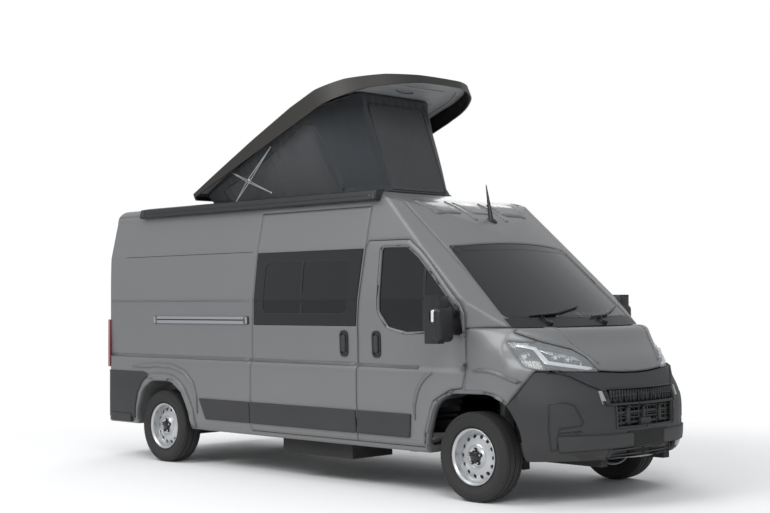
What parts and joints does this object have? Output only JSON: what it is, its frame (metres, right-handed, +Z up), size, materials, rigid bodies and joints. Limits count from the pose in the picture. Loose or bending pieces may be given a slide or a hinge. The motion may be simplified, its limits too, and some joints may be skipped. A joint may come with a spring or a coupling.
{
  "type": "camper van",
  "caption": "High-roof camper van with a raised wedge roof tent, opening doors and bonnet, and steered wheels.",
  "frame": {"origin": "on the floor, below the middle of the van's bounding box", "axes": "+X forward, +Y to the van's left, +Z up"},
  "size_m": [5.9977, 2.576, 3.5471],
  "materials": {
    "body_paint": "satin metallic grey",
    "lid_shell": "smooth dark shell",
    "dark_plastic": "fine grain",
    "black_plastic": "semi-gloss black",
    "tinted_glass": "dark tint",
    "clear_glass": "clear",
    "lamp_lens": "clear lens",
    "red_lens": "red lens",
    "tyre_rubber": "matt",
    "wheel_steel": "silver paint",
    "chassis_steel": "black wax coat",
    "cast_block": "cast",
    "strut_metal": "satin",
    "rail_metal": "satin anodised",
    "tent_fabric": "dark slate weave",
    "seat_fabric": "dark grey weave",
    "mattress_fabric": "light weave",
    "cabinet_board": "light laminate"
  },
  "bodies": {
    "van": {"floor_panel": "body_paint", "roof_panel": "body_paint", "side_panel_left": "body_paint", "side_panel_right": "body_paint", "front_bumper": "dark_plastic", "front_wing_left": "body_paint", "front_wing_right": "body_paint", "side_window_left": "tinted_glass", "slide_rail": "rail_metal", "sliding_door": "body_paint", "sliding_door_window": "tinted_glass", "windscreen": "clear_glass", "headlamp_left": "lamp_lens", "headlamp_right": "lamp_lens", "scuttle": "black_plastic", "grille": "black_plastic", "rear_bumper": "dark_plastic", "tail_lamp_left": "red_lens", "tail_lamp_right": "red_lens", "awning_case": "black_plastic", "antenna": "black_plastic", "front_subframe": "chassis_steel", "rear_axle": "chassis_steel", "engine_block": "cast_block", "water_tank": "dark_plastic", "dashboard": "dark_plastic", "driver_seat": "seat_fabric", "passenger_seat": "seat_fabric", "kitchen_unit": "cabinet_board", "bed_frame": "cabinet_board", "mattress": "mattress_fabric", "roof_tent": "tent_fabric"},
    "bonnet": {"bonnet": "body_paint"},
    "roof_lid": {"roof_lid": "lid_shell"},
    "front_door_left": {"front_door_left": "body_paint", "front_door_glass_left": "tinted_glass", "mirror_left": "black_plastic"},
    "rear_door_left": {"rear_door_left": "body_paint", "rear_door_glass_left": "tinted_glass"},
    "knuckle_left": {"knuckle_left": "chassis_steel"},
    "long_strut_left": {"long_strut_left": "strut_metal"},
    "short_strut_left": {"short_strut_left": "strut_metal"},
    "wheel_front_left": {"wheel_front_left": "wheel_steel", "tyre_front_left": "tyre_rubber"},
    "wheel_rear_left": {"wheel_rear_left": "wheel_steel", "tyre_rear_left": "tyre_rubber"},
    "front_door_right": {"front_door_right": "body_paint", "front_door_glass_right": "tinted_glass", "mirror_right": "black_plastic"},
    "rear_door_right": {"rear_door_right": "body_paint", "rear_door_glass_right": "tinted_glass"},
    "knuckle_right": {"knuckle_right": "chassis_steel"},
    "long_strut_right": {"long_strut_right": "strut_metal"},
    "short_strut_right": {"short_strut_right": "strut_metal"},
    "wheel_front_right": {"wheel_front_right": "wheel_steel", "tyre_front_right": "tyre_rubber"},
    "wheel_rear_right": {"wheel_rear_right": "wheel_steel", "tyre_rear_right": "tyre_rubber"}
  },
  "joints": [
    {"name": "steer_left", "type": "hinge", "parent": "van", "child": "knuckle_left", "pos_m": [2.051, 0.8, 0.348], "axis": [0, 0, 1], "range_deg": [-33, 33]},
    {"name": "front_wheel_spin_left", "type": "hinge", "parent": "knuckle_left", "child": "wheel_front_left", "pos_m": [2.051, 0.905, 0.348], "axis": [0, 1, 0], "continuous": true},
    {"name": "rear_wheel_spin_left", "type": "hinge", "parent": "van", "child": "wheel_rear_left", "pos_m": [-1.984, 0.895, 0.348], "axis": [0, 1, 0], "continuous": true},
    {"name": "front_door_hinge_left", "type": "hinge", "parent": "van", "child": "front_door_left", "pos_m": [1.992, 1.036, 1.17], "axis": [0, 0, -1], "range_deg": [0, 70]},
    {"name": "rear_door_hinge_left", "type": "hinge", "parent": "van", "child": "rear_door_left", "pos_m": [-2.985, 0.815, 1.3], "axis": [0, 0, -1], "range_deg": [0, 95]},
    {"name": "long_strut_hinge_left", "type": "hinge", "parent": "van", "child": "long_strut_left", "pos_m": [-1.081, 0.8, 2.515], "axis": [0, 1, 0], "range_deg": [0, 43.5]},
    {"name": "short_strut_hinge_left", "type": "hinge", "parent": "long_strut_left", "child": "short_strut_left", "pos_m": [-0.8946, 0.812, 2.6919], "axis": [0, 1, 0], "range_deg": [-64.3, 0]},
    {"name": "steer_right", "type": "hinge", "parent": "van", "child": "knuckle_right", "pos_m": [2.051, -0.8, 0.348], "axis": [0, 0, 1], "range_deg": [-33, 33]},
    {"name": "front_wheel_spin_right", "type": "hinge", "parent": "knuckle_right", "child": "wheel_front_right", "pos_m": [2.051, -0.905, 0.348], "axis": [0, 1, 0], "continuous": true},
    {"name": "rear_wheel_spin_right", "type": "hinge", "parent": "van", "child": "wheel_rear_right", "pos_m": [-1.984, -0.895, 0.348], "axis": [0, 1, 0], "continuous": true},
    {"name": "front_door_hinge_right", "type": "hinge", "parent": "van", "child": "front_door_right", "pos_m": [1.992, -1.036, 1.17], "axis": [0, 0, 1], "range_deg": [0, 70]},
    {"name": "rear_door_hinge_right", "type": "hinge", "parent": "van", "child": "rear_door_right", "pos_m": [-2.985, -0.815, 1.3], "axis": [0, 0, 1], "range_deg": [0, 95]},
    {"name": "long_strut_hinge_right", "type": "hinge", "parent": "van", "child": "long_strut_right", "pos_m": [-1.081, -0.8, 2.515], "axis": [0, 1, 0], "range_deg": [0, 43.5]},
    {"name": "short_strut_hinge_right", "type": "hinge", "parent": "long_strut_right", "child": "short_strut_right", "pos_m": [-0.8946, -0.812, 2.6919], "axis": [0, 1, 0], "range_deg": [-64.3, 0]},
    {"name": "bonnet_hinge", "type": "hinge", "parent": "van", "child": "bonnet", "pos_m": [2.347, 0, 1.33], "axis": [0, -1, 0], "range_deg": [0, 50]},
    {"name": "roof_hinge", "type": "hinge", "parent": "van", "child": "roof_lid", "pos_m": [-1.759, 0, 2.55], "axis": [0, 1, 0], "range_deg": [0, 21.5], "deforming": ["roof_tent"]}
  ],
  "couplings": [
    {"joint": "long_strut_hinge_left", "follows": "roof_hinge", "ratio": 2.0233},
    {"joint": "short_strut_hinge_left", "follows": "roof_hinge", "ratio": -2.9907},
    {"joint": "long_strut_hinge_right", "follows": "roof_hinge", "ratio": 2.0233},
    {"joint": "short_strut_hinge_right", "follows": "roof_hinge", "ratio": -2.9907},
    {"joint": "steer_right", "follows": "steer_left", "ratio": 1}
  ]
}
